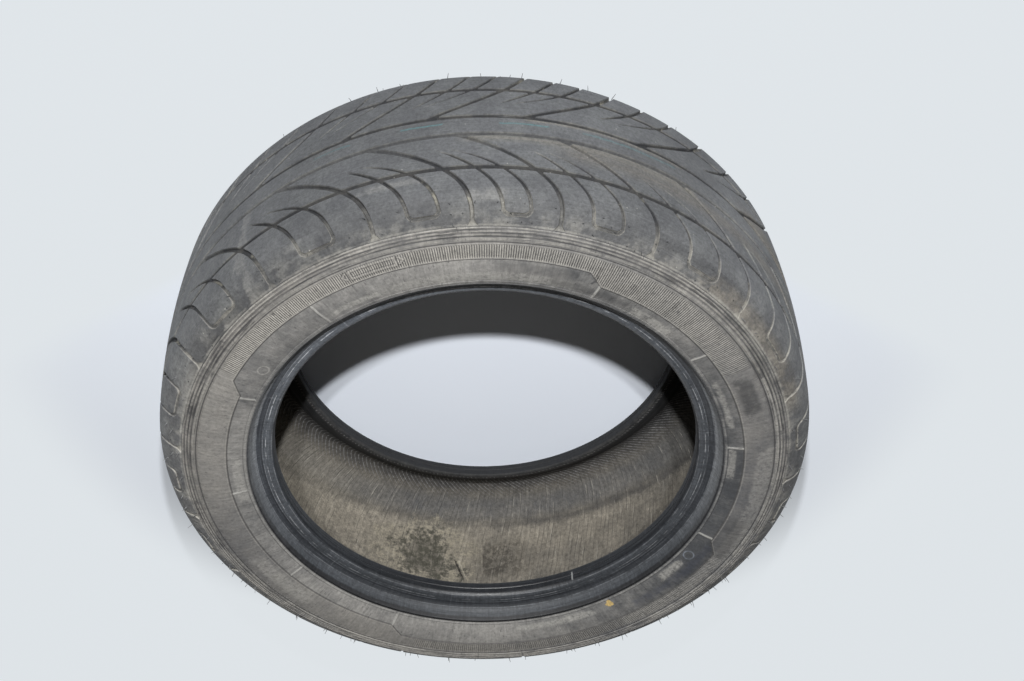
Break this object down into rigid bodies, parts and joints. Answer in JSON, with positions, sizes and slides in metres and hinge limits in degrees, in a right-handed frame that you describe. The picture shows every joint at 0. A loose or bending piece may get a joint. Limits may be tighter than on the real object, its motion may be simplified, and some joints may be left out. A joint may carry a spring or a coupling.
{
  "type": "old worn tyre",
  "caption": "Worn directional road-car tyre: open casing with beads, dusty sidewalls and a shallow swept tread, lying on its side.",
  "frame": {"origin": "centre of the tyre, on the wheel axis, midway between the sidewalls", "axes": "+Z along the wheel axis, towards the sidewall that faces up as the tyre lies; -Y towards the part of the tread with the shortest pitches"},
  "size_m": [0.63, 0.6298, 0.2336],
  "materials": {
    "tyre_rubber": "worn, dusty rubber, dull on the tread and sidewalls, smoother and darker at the beads"
  },
  "bodies": {
    "root": {"tyre": "tyre_rubber"}
  },
  "joints": []
}
